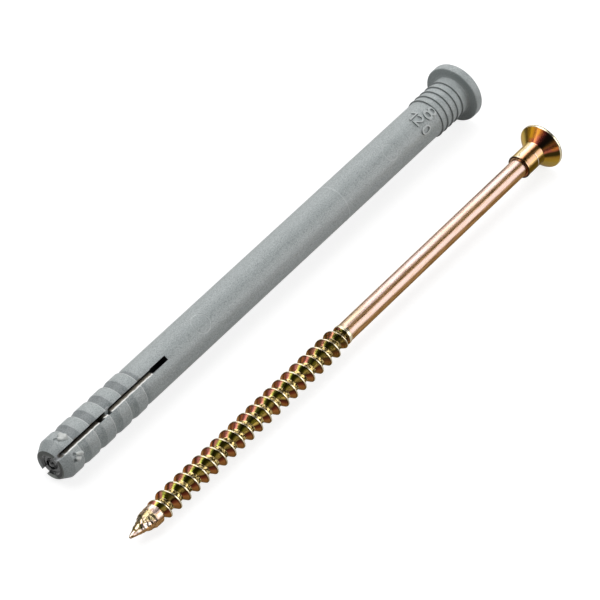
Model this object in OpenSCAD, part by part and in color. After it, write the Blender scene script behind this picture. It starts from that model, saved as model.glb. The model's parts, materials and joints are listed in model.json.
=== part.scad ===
// Hammer fixing, one standard size: a slotted nylon sleeve and the threaded nail that is driven into it.
// The two pieces lie side by side on the ground with their tips toward -X, each on its two widest places.
// Each piece is drawn upright first, with its tip at z = 0 and its axis along +Z, and then laid down.

/* [Sleeve] */
// Diameter of the plain body
body_d = 7.8; // [7.4:0.1:8.6]
// Length from the tip to the underside of the collar
plug_len = 120; // [90:1:160]
// Diameter of the collar
collar_d = 11.8; // [11:0.1:14]
// Thickness of the collar
collar_t = 1.9; // [1.5:0.1:3]
// Rounding of the collar's edges
collar_round = 0.3; // [0.1:0.05:0.5]
// Fillet between the neck and the collar
neck_fillet = 0.4; // [0.2:0.05:0.6]

/* [Barbs] */
// Number of barbs behind the tip
barb_count = 5; // [3:1:6]
// Distance from one barb to the next
barb_pitch = 4.35; // [4:0.05:4.8]
// Diameter over the barbs
barb_d = 8.1; // [7.9:0.1:9]
// Diameter at the foot of a barb
barb_root_d = 7.2; // [6.8:0.1:7.4]
// Length of the straight land on a barb
barb_land = 2.45; // [1.8:0.05:3]
// Length of the steep step behind a land
barb_step = 0.12; // [0.08:0.02:0.3]
// Length of the slope from the last barb's foot back up to the body
barb_run = 1.3; // [0.6:0.1:2]
// Diameter of the flat end face
nose_d = 6; // [5:0.1:6.6]
// Length of the nose cone in front of the first land
nose_len = 1.95; // [1.2:0.05:3]

/* [Rings below the collar] */
// Number of saw-tooth rings
ring_count = 5; // [2:1:7]
// Distance from one ring to the next
ring_pitch = 1.65; // [1.3:0.05:2]
// Diameter over the rings
ring_d = 8.4; // [8.2:0.1:9]
// Length of the steep side of a ring
ring_step = 0.14; // [0.08:0.02:0.3]
// Distance from the last ring's steep side to the collar
ring_to_collar = 2.15; // [1.6:0.05:3]

/* [Slot] */
// Width of the slot
slot_w = 0.74; // [0.5:0.02:1]
// Length of the slot from the tip
slot_len = 29.6; // [27:0.1:36]
// Width of the slot at its inner end
slot_end_w = 0.92; // [0.74:0.02:1.3]
// Length of that wider end
slot_end_len = 4.2; // [2:0.1:6]
// Width of the notch on the far side of the tip
back_slot_w = 1.1; // [0.6:0.05:1.6]
// Length of that notch
back_slot_len = 3; // [1.5:0.5:12]
// Angle of the slot from straight up, toward the nail
slot_turn = 31; // [0:1:60]
// Thickness of the bridge that ties the two halves together
bridge_d = 0.9; // [0.6:0.05:1.1]
// Distance from the tip to that bridge
bridge_at = 13.45; // [6:0.05:24]
// Depth of the bridge below the foot of the barbs
bridge_sink = 0.15; // [0.05:0.05:0.4]
// Thickness of the web that closes the slot at the tip and carries the core
tip_web = 0.6; // [0.3:0.05:1]
// Distance from the axis to the outer end of that web
web_reach = 2.4; // [2.3:0.05:2.6]

/* [Nubs on the first barb] */
// Distance from the tip to the middle of a nub
nub_at = 3.4; // [2.6:0.1:4]
// Length and width of a nub
nub_w = 2; // [1.2:0.1:2.4]
// Height of a nub above the land
nub_h = 0.6; // [0.3:0.05:0.9]
// Angle from the slot to each nub
nub_turn = 32; // [22:1:60]

/* [Tip] */
// Diameter of the open mouth in the end face
mouth_d = 4.2; // [3.8:0.1:4.4]
// Depth of the mouth before it narrows to the bore
mouth_len = 1.4; // [1:0.1:2]
// Diameter of the blind core that closes the middle of the mouth
core_d = 2.6; // [2:0.1:2.8]
// Length of the core
core_len = 2; // [1.5:0.1:3]
// Depth of the core behind the end face
core_sink = 0.1; // [0:0.05:0.3]

/* [Bore] */
// Clearance all round between the nail and the straight bore
nail_clear = 0.1; // [0.06:0.02:0.3]
// Diameter of the narrow bore in the slotted end
tip_bore_d = 3; // [2.4:0.1:3.6]
// Length of that narrow bore
tip_bore_len = 26; // [20:0.5:30]
// Length of the taper from the narrow bore to the straight one
bore_taper = 14; // [6:0.5:20]
// Clearance all round between the nail's head and its seat in the collar
head_clear = 0.15; // [0.05:0.05:0.4]

/* [Nail] */
// Length of the nail over all
nail_len = 123; // [90:1:165]
// Length of the four-sided point
point_len = 4; // [2.5:0.1:4]
// Width of the point's blunt end
point_flat = 0.5; // [0.3:0.05:0.8]
// Diameter of the plain stub behind the point
stub_d = 3.9; // [3.6:0.1:4.4]
// Distance from the tip to the end of the stub
stub_end = 7; // [7:0.1:9]
// Diameter of the plain shank
shank_d = 3.7; // [3.5:0.1:4.4]
// Diameter of the neck under the head
neck_d = 4.74; // [4.5:0.02:4.8]
// Length of the neck
neck_len = 5; // [3:0.1:8]
// Diameter of the lip where the neck meets the shank
neck_lip_d = 4.84; // [4.82:0.02:5]
// Length of that lip
neck_lip_len = 0.4; // [0.2:0.05:0.8]

/* [Thread] */
// Diameter over the thread
thread_d = 4.8; // [4.6:0.1:5.2]
// Diameter at the root of the thread
thread_root_d = 3; // [2.6:0.1:3.3]
// Distance from one turn to the next
thread_pitch = 2.5; // [2.4:0.05:2.8]
// Distance from the tip to the end of the thread, where the shank begins
thread_end = 60; // [45:0.5:75]
// Length of the flank that faces the tip
flank_front = 1.3; // [1:0.05:1.4]
// Width of the crest
crest_w = 0.28; // [0.16:0.02:0.3]
// Length of the flank that faces the head
flank_back = 0.55; // [0.4:0.05:0.6]
// Length over which the crest rises from the stub
thread_rise = 2.4; // [0.5:0.1:4]
// Length over which the crest runs out into the shank
thread_fade = 4.5; // [0.5:0.1:6]
// Angle at which the thread starts
thread_turn = 228; // [0:12:348]

/* [Head] */
// Diameter of the countersunk head
head_d = 9.28; // [8.6:0.02:9.6]
// Angle of the countersink
head_angle = 90; // [84:1:100]
// Height of the head's straight rim
head_rim = 0.45; // [0.3:0.05:0.8]
// Rounding of the rim's top edge
head_round = 0.18; // [0.05:0.01:0.25]
// Width of the cross recess over its wings
recess_d = 4.6; // [3.6:0.1:5]
// Width of the recess at its foot
recess_foot = 1.7; // [1.2:0.1:2]
// Depth of the recess
recess_depth = 2.3; // [1.5:0.1:2.6]
// Thickness of each wing of the recess
recess_wing = 0.85; // [0.6:0.05:1]

/* [Layout] */
// Distance between the two tips, across the pieces
axis_gap = 20.3; // [16:0.1:30]
// How far the nail's tip lies in front of the sleeve's tip
nail_lead = 3.55; // [0:0.05:10]
// Angle between the nail and the sleeve
nail_yaw = 0.5; // [0:0.1:2]

/* [Hidden] */
$fn = 96;
turn_steps = 30;
round_steps = 4;
cut = 0.01;
reach = 1;

// Shares of a nub's width at which its outline has corners, along the axis and across it.
nub_front = 0.75;
nub_ridge = 0.2;
nub_brow = 0.4;
nub_foot = 0.6;
nub_drop = 0.15;
// Share of the lip's length over which it falls to the neck.
lip_fall = 0.5;

collar_r = collar_d / 2;
body_r = body_d / 2;
barb_r = barb_d / 2;
barb_root_r = barb_root_d / 2;
sleeve_len = plug_len + collar_t;
last_barb = nose_len + barb_land + (barb_count - 1) * barb_pitch;
first_ring = plug_len - ring_to_collar - (ring_count - 1) * ring_pitch;

head_r = head_d / 2;
thread_r = thread_d / 2;
thread_root_r = thread_root_d / 2;
stub_r = stub_d / 2;
shank_r = shank_d / 2;
half_angle = head_angle / 2;
head_cone = (head_d - neck_d) / 2 / tan(half_angle);
cone_start = nail_len - head_rim - head_cone;
neck_start = cone_start - neck_len;

tip_bore_r = tip_bore_d / 2;
bore_r = max(thread_d, neck_lip_d) / 2 + nail_clear;
seat_r = head_r + head_clear;
seat_start = sleeve_len - (seat_r - bore_r) / tan(half_angle);
bore_start = tip_bore_len + bore_taper;

// The thread begins and ends one turn deep inside the stub and the shank, at its root diameter.
thread_sink = 0.2;
thread_start = stub_end - thread_pitch - thread_sink;
thread_steps = ceil((thread_end + thread_sink - thread_start) / thread_pitch * turn_steps);
crest_mid = flank_front + crest_w / 2;
flank_at = [0, flank_front, flank_front + crest_w, flank_front + crest_w + flank_back];
on_crest = [false, true, true, false];
strip = len(flank_at);

// The first full crest on the side that faces the ground carries the nail's front end.
crest_below = thread_start + crest_mid + thread_pitch * (1 - thread_turn / 360);
nail_foot = crest_below + thread_pitch * ceil((stub_end + thread_rise - crest_below) / thread_pitch);

// Lying angles, from the two circles on which each piece rests.
collar_foot = plug_len + collar_round;
rim_foot = nail_len - head_rim;
sleeve_tilt = atan((collar_r - barb_r) / (collar_foot - nose_len));
nail_tilt = atan((head_r - thread_r) / (rim_foot - nail_foot));
sleeve_tip_z = barb_r * cos(sleeve_tilt) - nose_len * sin(sleeve_tilt);
nail_tip_z = thread_r * cos(nail_tilt) - nail_foot * sin(nail_tilt);

// The origin is below the middle of both pieces together, seen from above.
sleeve_reach = sleeve_len * cos(sleeve_tilt) + (collar_r - collar_round) * sin(sleeve_tilt);
nail_reach = (nail_len * cos(nail_tilt) + head_r * sin(nail_tilt)) * cos(nail_yaw) - nail_lead;
mid_x = (max(sleeve_reach, nail_reach) + min(0, -nail_lead)) / 2;
low_y = -axis_gap - rim_foot * cos(nail_tilt) * sin(nail_yaw) - head_r * cos(nail_yaw);
mid_y = (collar_r + low_y) / 2;

function barb_edge(i) = nose_len + barb_land + i * barb_pitch;
function ring_at(j) = first_ring + j * ring_pitch;
function arc(x, z, r, from, to) = [
    for (k = [0:round_steps])
        let (a = from + (to - from) * k / round_steps)
        [x + r * cos(a), z + r * sin(a)]
];

// Radius of the crest at one step of the helix: it rises from the stub and runs out into the shank.
function crest_r(i) =
    let (z = thread_start + thread_pitch * i / turn_steps + crest_mid)
    let (rising = stub_r + (thread_r - stub_r) * (z - stub_end) / thread_rise)
    let (fading = shank_r + (thread_r - shank_r) * (thread_end - z) / thread_fade)
    max(thread_root_r, min(thread_r, rising, fading));
function thread_point(i, k) =
    let (a = thread_turn + 360 * i / turn_steps)
    let (r = on_crest[k % strip] ? crest_r(i) : thread_root_r)
    let (rise = k == strip ? thread_pitch : flank_at[k])
    [r * cos(a), r * sin(a), thread_start + thread_pitch * i / turn_steps + rise];
// A strip's last point is the first point of the strip one turn later.
function thread_index(i, k) =
    k < strip ? i * strip + k
    : i + turn_steps <= thread_steps ? (i + turn_steps) * strip
    : (thread_steps + 1) * strip + i - (thread_steps - turn_steps) - 1;

// Lays an upright piece down along +X, with its head end raised by the given tilt.
module lay(x, y, z, tilt, yaw) {
    translate([x - mid_x, y - mid_y, z]) rotate([0, 0, yaw]) rotate([0, 90 - tilt, 0]) children();
}

// Turns what is drawn toward +X to an angle from straight up, once the piece lies down.
module facing(angle) {
    rotate([0, 0, 180 + angle]) children();
}

module sleeve_outside() {
    rotate_extrude() polygon(concat(
        [[0, 0], [nose_d / 2, 0]],
        [for (i = [0:barb_count - 1]) each [
            [barb_r, barb_edge(i) - barb_land],
            [barb_r, barb_edge(i)],
            [barb_root_r, barb_edge(i) + barb_step]
        ]],
        [[body_r, last_barb + barb_step + barb_run]],
        [for (j = [0:ring_count - 1]) each [
            [body_r, ring_at(j)],
            [ring_d / 2, ring_at(j) + ring_step]
        ]],
        arc(body_r + neck_fillet, plug_len - neck_fillet, neck_fillet, 180, 90),
        arc(collar_r - collar_round, plug_len + collar_round, collar_round, -90, 0),
        arc(collar_r - collar_round, sleeve_len - collar_round, collar_round, 0, 90),
        [[0, sleeve_len]]
    ));
}

// The way of the nail: the mouth, a narrow bore, a straight bore and a countersunk seat in the collar.
module nail_way() {
    mouth_r = mouth_d / 2;
    rotate_extrude() polygon([
        [0, -reach],
        [mouth_r, -reach],
        [mouth_r, mouth_len],
        [tip_bore_r, mouth_len + mouth_r - tip_bore_r],
        [tip_bore_r, tip_bore_len],
        [bore_r, bore_start],
        [bore_r, seat_start],
        [seat_r + reach * tan(half_angle), sleeve_len + reach],
        [0, sleeve_len + reach]
    ]);
}

module slot(width, from, to) {
    translate([0, -width / 2, from]) cube([barb_r + reach, width, to - from]);
}

// A small wedge that rises from the tip side to a short ridge.
module nub() {
    base = barb_r - nub_h;
    top = barb_r + nub_h;
    intersection() {
        rotate([90, 0, 0]) linear_extrude(nub_w * 2, center = true) polygon([
            [base, nub_at - nub_w * nub_front],
            [top, nub_at + nub_w * nub_ridge],
            [top - nub_h * nub_drop, nub_at + nub_w * nub_brow],
            [base, nub_at + nub_w * nub_foot]
        ]);
        linear_extrude(nub_at + nub_w) polygon([
            [base, -nub_w * nub_foot],
            [top, -nub_w * nub_ridge],
            [top, nub_w * nub_ridge],
            [base, nub_w * nub_foot]
        ]);
    }
}

// The blind core in the mouth, with a blunt end and the web that ties it to both sides of the slot.
module tip_core(tie_w) {
    blunt = core_d / 4;
    translate([0, 0, core_sink]) cylinder(d1 = core_d - blunt, d2 = core_d, h = blunt);
    translate([0, 0, core_sink + blunt]) cylinder(d = core_d, h = core_len - blunt);
    translate([0, -tie_w / 2, core_sink + blunt]) cube([web_reach, tie_w, tip_web]);
}

module sleeve() {
    bridge_r = barb_root_r - bridge_sink - bridge_d / 2;
    tie_w = max(slot_w, slot_end_w) + bridge_d;
    color([0.60, 0.63, 0.63]) lay(0, 0, sleeve_tip_z, sleeve_tilt, 0) {
        difference() {
            union() {
                sleeve_outside();
                for (side = [-1, 1]) facing(slot_turn + side * nub_turn) nub();
            }
            nail_way();
            facing(slot_turn) slot(slot_w, -reach, slot_len);
            facing(slot_turn) slot(slot_end_w, slot_len - slot_end_len, slot_len);
            facing(slot_turn + 180) slot(back_slot_w, -reach, back_slot_len);
        }
        facing(slot_turn) translate([bridge_r, 0, bridge_at]) rotate([90, 0, 0])
            cylinder(d = bridge_d, h = tie_w, center = true);
        facing(slot_turn) tip_core(tie_w);
    }
}

// The stub is a round bar whose end is pinched to four flats.
module nail_point() {
    slope = (stub_d - point_flat) / 2 / point_len;
    top = stub_end + reach;
    small = point_flat / 2;
    large = small + slope * top;
    intersection() {
        cylinder(d = stub_d, h = stub_end);
        rotate([0, 0, 45]) cylinder(r1 = small * sqrt(2), r2 = large * sqrt(2), h = top, $fn = 4);
    }
}

// Single-start right-hand thread with its core, swept as strips of one turn's section along the helix.
module thread() {
    last = thread_steps;
    points = concat(
        [for (i = [0:last]) for (k = [0:strip - 1]) thread_point(i, k)],
        [for (i = [last - turn_steps + 1:last]) thread_point(i, strip)],
        [[0, 0, thread_start - thread_sink]],
        [[0, 0, thread_start + thread_pitch * (1 + last / turn_steps) + thread_sink]]
    );
    bottom = len(points) - 2;
    top = len(points) - 1;
    faces = concat(
        [for (i = [0:last - 1]) for (k = [0:strip - 1]) each [
            [thread_index(i, k), thread_index(i, k + 1), thread_index(i + 1, k + 1)],
            [thread_index(i, k), thread_index(i + 1, k + 1), thread_index(i + 1, k)]
        ]],
        [for (i = [0:turn_steps - 1]) [thread_index(i, 0), thread_index(i + 1, 0), bottom]],
        [for (k = [0:strip - 1]) [thread_index(0, k + 1), thread_index(0, k), bottom]],
        [for (i = [last - turn_steps:last - 1]) [thread_index(i + 1, strip), thread_index(i, strip), top]],
        [for (k = [0:strip - 1]) [thread_index(last, k), thread_index(last, k + 1), top]]
    );
    polyhedron(points, faces, convexity = 10);
}

module shank_and_head() {
    rotate_extrude() polygon(concat(
        [[0, thread_end], [shank_r, thread_end]],
        [[shank_r, neck_start], [neck_lip_d / 2, neck_start]],
        [[neck_lip_d / 2, neck_start + neck_lip_len]],
        [[neck_d / 2, neck_start + neck_lip_len * (1 + lip_fall)]],
        [[neck_d / 2, cone_start], [head_r, rim_foot]],
        arc(head_r - head_round, nail_len - head_round, head_round, 0, 90),
        [[0, nail_len]]
    ));
}

module recess_blade() {
    rotate([90, 0, 0]) linear_extrude(recess_wing, center = true) polygon([
        [-recess_d / 2, nail_len + cut],
        [-recess_foot / 2, nail_len - recess_depth],
        [recess_foot / 2, nail_len - recess_depth],
        [recess_d / 2, nail_len + cut]
    ]);
}

module nail_screw() {
    color([0.78, 0.64, 0.36]) lay(-nail_lead, -axis_gap, nail_tip_z, nail_tilt, -nail_yaw) {
        nail_point();
        thread();
        difference() {
            shank_and_head();
            for (turn = [0, 90]) rotate([0, 0, turn]) recess_blade();
        }
    }
}

sleeve();
nail_screw();
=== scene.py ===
"""Hammer fixing: a slotted grey nylon sleeve and its yellow zinc nail, lying side by side on a pale floor.

Both pieces are modelled upright in millimetres, with the tip at z = 0, the axis along +Z and the sleeve's
slot toward +X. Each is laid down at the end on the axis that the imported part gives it.
"""

import json
from math import atan2, cos, hypot, pi, radians, sin

import bmesh
import bpy
from mathutils import Matrix, Vector, noise


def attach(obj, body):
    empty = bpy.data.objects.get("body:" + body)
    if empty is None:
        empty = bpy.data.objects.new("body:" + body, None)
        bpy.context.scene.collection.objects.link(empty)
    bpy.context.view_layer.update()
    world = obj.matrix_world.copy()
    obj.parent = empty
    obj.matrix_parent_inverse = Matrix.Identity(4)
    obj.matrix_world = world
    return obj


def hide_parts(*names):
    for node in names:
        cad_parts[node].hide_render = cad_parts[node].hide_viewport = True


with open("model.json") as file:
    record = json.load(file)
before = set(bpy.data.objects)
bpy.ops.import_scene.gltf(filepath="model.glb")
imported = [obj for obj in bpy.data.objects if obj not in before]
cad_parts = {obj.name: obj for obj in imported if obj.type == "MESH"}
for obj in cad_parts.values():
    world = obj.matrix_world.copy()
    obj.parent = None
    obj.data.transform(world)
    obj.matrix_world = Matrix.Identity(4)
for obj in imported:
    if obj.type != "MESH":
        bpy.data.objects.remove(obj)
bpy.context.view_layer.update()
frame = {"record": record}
mounts = {mount["name"]: mount for mount in frame["record"]["mounts"]}

MM = 0.001
SIDES = 144
CLEAR = 6.0
NEAR = 0.005

# The sleeve, in millimetres and degrees
BODY_R = 3.9
PLUG_LEN = 120.0
SLEEVE_LEN = 121.9
COLLAR_R = 5.9
NOSE_R = 3.0
BARB_R = 4.05
BARB_ROOT_R = 3.6
BARB_EDGES = [4.4 + 4.35 * i for i in range(5)]
BARB_LAND = 2.45
BARB_STEP = 0.12
BARB_FOOT_END = BARB_EDGES[-1] + BARB_STEP + 1.3
RING_R = 4.2
RING_STEPS = [111.25 + 1.65 * j for j in range(5)]
RING_STEP = 0.14
NECK_TOP = 119.6
WITNESS_AT = 81.5
WITNESS_H = 0.02
MOUTH_R = 2.1
MOUTH_NECK_R = 1.75
MOUTH_LEN = 1.4
CORE_R = 1.3
CORE_FROM = 0.1
CORE_LEN = 2.0
WEB_REACH = 2.75
CUP_R = 1.05
DOME_R = 0.8
DOME_AT = 0.85
MOUTH_FLOOR = (2.45, 0.45, 1.0)
TIP_BORE_R = 1.5
BORE_R = 2.52
BORE_TAPER = (26, 40)
SEAT_FROM = 119.63
SEAT_R = 4.79
SLOT_TURN = 31.0
SLOT_LEN = 29.6
SLOT_TOP = -0.40
SLOT_FLOOR = -0.30
SLOT_SHELF = (0.85, -0.18)
SLOT_EDGE = (0.15, 0.31)
SLOT_FLARE = 1.3
SLOT_FOLLOW = 0.15
SLOT_END_TOP = -0.51
SLOT_END_LOW = 0.48
SLOT_END_FROM = 25.4
NOTCH_HALF = 0.55
NOTCH_LEN = 3.0
BRIDGE_AT = 13.45
BRIDGE_HALF = 0.5
LIP_GAP = ((1.8, -0.3, 10.6), (CLEAR, 0.6, 12.0))
BRIDGE_GAP = ((1.8, 0, 13.0), (CLEAR, 0.62, 14.1))
NUB_TURN = 32.0
NUB_AT = (3.75, 0, 3.45)
NUB_SIZE = (1.0, 0.92, 1.12)
NUB_TOP = 4.4
NUB_PITS = ((-NUB_TURN, -0.6, 2.45, 0.4), (NUB_TURN, -0.75, 2.7, 0.36), (NUB_TURN, 0.3, 2.3, 0.36))
EJECTOR_MARKS = ((39.9, -4.0, 2.0), (96.9, 3.0, 1.75))
EJECTOR_SINK = 0.06
EJECTOR_LINE = 0.22
SIZE_MARKS = (
    ("8", 109.9, -2.0, 3.0, 2.1),
    ("1", 106.8, -31.0, 2.4, 1.0),
    ("2", 106.8, -7.0, 2.4, 1.6),
    ("0", 106.8, 25.0, 2.4, 1.6),
)
MARK_H = 0.26
MARKS_FROM = 105.0
MARKS_TO = 111.2

# The nail, in millimetres
NAIL_LEN = 123.0
STUB_R = 1.95
STUB_END = 7.0
POINT_FLATS = (0.2, 4.9)
POINT_FACETS = (0.24, 5.9)
CREASE = 0.28
ROOT_R = 1.5
CREST_R = 2.4
PITCH = 2.5
CREST_MID = 1.45
THREAD_FROM = 5.2067
THREAD_TURNS = 22
THREAD_STEPS = 64
THREAD_RISE = 2.4
THREAD_LIP_R = 2.1
THREAD_FADE = 2.5
THREAD_END = 60.0
SHANK_R = 1.85
SHANK_RING_R = 1.97
NECK_R = 2.37
NECK_LIP_R = 2.42
NECK_FROM = 115.28
GROOVE_FROM = 118.2
GROOVE_TO = 118.42
GROOVE_SINK = 0.05
CONE_FROM = 120.28
HEAD_R = 4.64
RIM_FROM = 122.55
RECESS_DEPTH = 2.3
RECESS_HALF = (2.3, 0.425)
RECESS_TAPER = 0.37


def start_clean():
    if bpy.context.object and bpy.context.object.mode != "OBJECT":
        bpy.ops.object.mode_set(mode="OBJECT")
    bpy.ops.object.select_all(action="DESELECT")


def make_active(piece):
    start_clean()
    piece.select_set(True)
    bpy.context.view_layer.objects.active = piece


def settle(name):
    """Names the new primitive and puts its place into its mesh."""
    piece = bpy.context.object
    piece.name = name
    piece.data.name = name
    bpy.ops.object.transform_apply(location=True, rotation=True, scale=True)
    return piece


def middle(part):
    if isinstance(part, bmesh.types.BMVert):
        return part.co
    points = [vert.co for vert in part.verts]
    return sum(points, Vector()) / len(points)


def pick(piece, kind, test):
    """Opens a piece for editing and selects those of its verts, edges or faces that pass the test.

    The test gets the vert, edge or face and its middle.
    """
    make_active(piece)
    bpy.ops.object.mode_set(mode="EDIT")
    bpy.ops.mesh.select_mode(type=kind)
    bpy.ops.mesh.select_all(action="DESELECT")
    mesh = bmesh.from_edit_mesh(piece.data)
    for part in {"VERT": mesh.verts, "EDGE": mesh.edges, "FACE": mesh.faces}[kind]:
        if test(part, middle(part)):
            part.select_set(True)
    mesh.select_flush_mode()
    bmesh.update_edit_mesh(piece.data)


def done():
    bpy.ops.object.mode_set(mode="OBJECT")


def soften_rings(piece, rings, offset, segments):
    """Rounds the turned edges that lie at the given (radius, height) places."""
    def on_ring(edge, at):
        ends = [(hypot(vert.co.x, vert.co.y), vert.co.z) for vert in edge.verts]
        return any(
            all(abs(r - ring_r) + abs(z - ring_z) < NEAR for r, z in ends) for ring_r, ring_z in rings
        )

    pick(piece, "EDGE", on_ring)
    bpy.ops.mesh.bevel(offset=offset, segments=segments, affect="EDGES")
    done()


def turned(name, profile, sides=SIDES, hollow=False):
    """A circle drawn out along (radius, height) points, then closed on itself or capped at both ends."""
    radius, height = profile[0]
    start_clean()
    bpy.ops.mesh.primitive_circle_add(vertices=sides, radius=radius, location=(0, 0, height))
    piece = settle(name)
    bpy.ops.object.mode_set(mode="EDIT")
    bpy.ops.mesh.select_mode(type="EDGE")
    bpy.ops.mesh.select_all(action="SELECT")
    for next_radius, next_height in profile[1:]:
        bpy.ops.mesh.extrude_region_move(TRANSFORM_OT_translate={"value": (0, 0, next_height - height)})
        grow = next_radius / radius
        bpy.ops.transform.resize(value=(grow, grow, 1), center_override=(0, 0, next_height))
        radius, height = next_radius, next_height
    if hollow:
        bpy.ops.mesh.select_non_manifold()
        bpy.ops.mesh.bridge_edge_loops()
    else:
        bpy.ops.mesh.edge_face_add()
        bpy.ops.mesh.select_all(action="DESELECT")
        bpy.ops.mesh.select_non_manifold()
        bpy.ops.mesh.edge_face_add()
    bpy.ops.mesh.select_all(action="SELECT")
    bpy.ops.mesh.normals_make_consistent(inside=False)
    done()
    return piece


def block(name, low, high):
    """A plain block between two corners, as a start for tools and small forms."""
    start_clean()
    size = [b - a for a, b in zip(low, high)]
    centre = [(a + b) / 2 for a, b in zip(low, high)]
    bpy.ops.mesh.primitive_cube_add(size=1, location=centre, scale=size)
    return settle(name)


def turn_about_axis(piece, angle):
    make_active(piece)
    piece.rotation_euler = (0, 0, radians(angle))
    bpy.ops.object.transform_apply(location=False, rotation=True, scale=False)
    return piece


def apply_modifier(piece, kind, **settings):
    make_active(piece)
    modifier = piece.modifiers.new("step", kind)
    for key, value in settings.items():
        setattr(modifier, key, value)
    bpy.ops.object.modifier_apply(modifier="step")
    return piece


def fit(piece, tool, operation):
    """Cuts, keeps or joins a piece with a tool, which is used up."""
    apply_modifier(piece, "BOOLEAN", operation=operation, object=tool, solver="EXACT")
    bpy.data.objects.remove(tool, do_unlink=True)
    return piece


def lay_down(piece, tip, along, roll=0.0):
    """Lays an upright piece on its axis in the part's frame, in metres."""
    make_active(piece)
    turn = axis_turn(along) @ Matrix.Rotation(radians(roll), 4, "Z")
    piece.matrix_world = Matrix.Translation(tip) @ turn @ Matrix.Scale(MM, 4)
    bpy.ops.object.transform_apply(location=True, rotation=True, scale=True)
    return piece


def axis_turn(along):
    across = Vector((0, 0, 1)).cross(along).normalized()
    return Matrix((across.cross(along), across, along)).transposed().to_4x4()


def smooth(piece, angle):
    make_active(piece)
    bpy.ops.object.shade_smooth_by_angle(angle=radians(angle))


# The sleeve: one hollow turned shape, softened ring by ring, then slotted.

def sleeve_profile():
    outside = [(NOSE_R, 0)]
    for edge in BARB_EDGES:
        outside += [(BARB_R, edge - BARB_LAND), (BARB_R, edge), (BARB_ROOT_R, edge + BARB_STEP)]
    outside += [(BODY_R, BARB_FOOT_END), (BODY_R, BARB_FOOT_END + 0.8)]
    near, far = [
        [(BODY_R, at - radius - 0.6), (BODY_R, at + radius + 0.6)] for at, _, radius in EJECTOR_MARKS
    ]
    witness = [(0, -0.6), (0, -0.14), (WITNESS_H, -0.05), (WITNESS_H, 0.05), (0, 0.14), (0, 0.6)]
    outside += near + [(BODY_R + lift, WITNESS_AT + shift) for lift, shift in witness] + far
    for step in RING_STEPS:
        outside += [(BODY_R, step), (RING_R, step + RING_STEP)]
    collar = [(BODY_R, NECK_TOP), (BODY_R, PLUG_LEN), (COLLAR_R, PLUG_LEN), (COLLAR_R, SLEEVE_LEN)]
    narrow_to, wide_from = BORE_TAPER
    way = [(SEAT_R, SLEEVE_LEN), (BORE_R, SEAT_FROM), (BORE_R, wide_from), (TIP_BORE_R, narrow_to)]
    mouth = [(TIP_BORE_R, 2.0), (MOUTH_NECK_R, MOUTH_LEN), (MOUTH_NECK_R, 0.35), (MOUTH_R, 0)]
    return outside + collar + way + mouth


def soften_sleeve(sleeve):
    soften_rings(sleeve, [(COLLAR_R, PLUG_LEN), (COLLAR_R, SLEEVE_LEN)], 0.3, 5)
    soften_rings(sleeve, [(BODY_R, PLUG_LEN)], 0.2, 3)
    soften_rings(sleeve, [(SEAT_R, SLEEVE_LEN)], 0.12, 2)
    soften_rings(sleeve, [(BARB_R, edge - BARB_LAND) for edge in BARB_EDGES], 0.1, 2)
    soften_rings(sleeve, [(BARB_R, edge) for edge in BARB_EDGES], 0.08, 3)
    soften_rings(sleeve, [(BARB_ROOT_R, edge + BARB_STEP) for edge in BARB_EDGES], 0.06, 2)
    soften_rings(sleeve, [(BODY_R, BARB_FOOT_END)], 0.3, 3)
    soften_rings(sleeve, [(RING_R, step + RING_STEP) for step in RING_STEPS], 0.05, 2)
    soften_rings(sleeve, [(NOSE_R, 0)], 0.14, 3)
    soften_rings(sleeve, [(MOUTH_R, 0)], 0.06, 2)


def nub_form(lobed):
    """A small uneven lump with a flattened top; the lobed one has a groove across it."""
    start_clean()
    bpy.ops.mesh.primitive_uv_sphere_add(
        segments=40, ring_count=24, radius=1, location=NUB_AT, scale=NUB_SIZE,
    )
    nub = settle("nub")
    pick(nub, "VERT", lambda vert, at: at.x > NUB_TOP)
    bpy.ops.transform.resize(value=(0.5, 1, 1), center_override=(NUB_TOP, 0, NUB_AT[2]))
    mesh = bmesh.from_edit_mesh(nub.data)
    for vert in mesh.verts:
        vert.co += vert.normal * 0.3 * noise.noise(vert.co * 1.2 + Vector((0, 7 * lobed, 0)))
    bmesh.update_edit_mesh(nub.data)
    done()
    if lobed:
        groove = block("groove", (4.2, -0.06, 1.5), (5.2, 0.06, 5.5))
        pick(groove, "FACE", lambda face, at: face.normal.x > 0.9)
        bpy.ops.transform.resize(value=(1, 9, 1), center_override=(5.2, 0, 3.5))
        done()
        fit(nub, turn_in_place(groove, 35), "DIFFERENCE")
    return nub


def turn_in_place(tool, angle):
    """Turns a tool about the line that runs out through the nubs' middle."""
    pick(tool, "FACE", lambda face, at: True)
    bpy.ops.transform.rotate(value=radians(angle), orient_axis="X", center_override=(4.5, 0, 3.4))
    done()
    return tool


def pit_tool(across, along, radius):
    start_clean()
    bpy.ops.mesh.primitive_uv_sphere_add(
        segments=24, ring_count=12, radius=radius, location=(BARB_R, across, along),
    )
    return settle("pit")


def flat_form(name, corners):
    """A flat face with the given corners, drawn on the ground plane."""
    start_clean()
    bpy.ops.mesh.primitive_circle_add(vertices=len(corners), fill_type="NGON")
    form = settle(name)
    pick(form, "FACE", lambda face, at: True)
    mesh = bmesh.from_edit_mesh(form.data)
    for vert, (x, y) in zip(mesh.verts, corners):
        vert.co = (x, y, 0)
    bmesh.update_edit_mesh(form.data)
    done()
    return form


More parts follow.
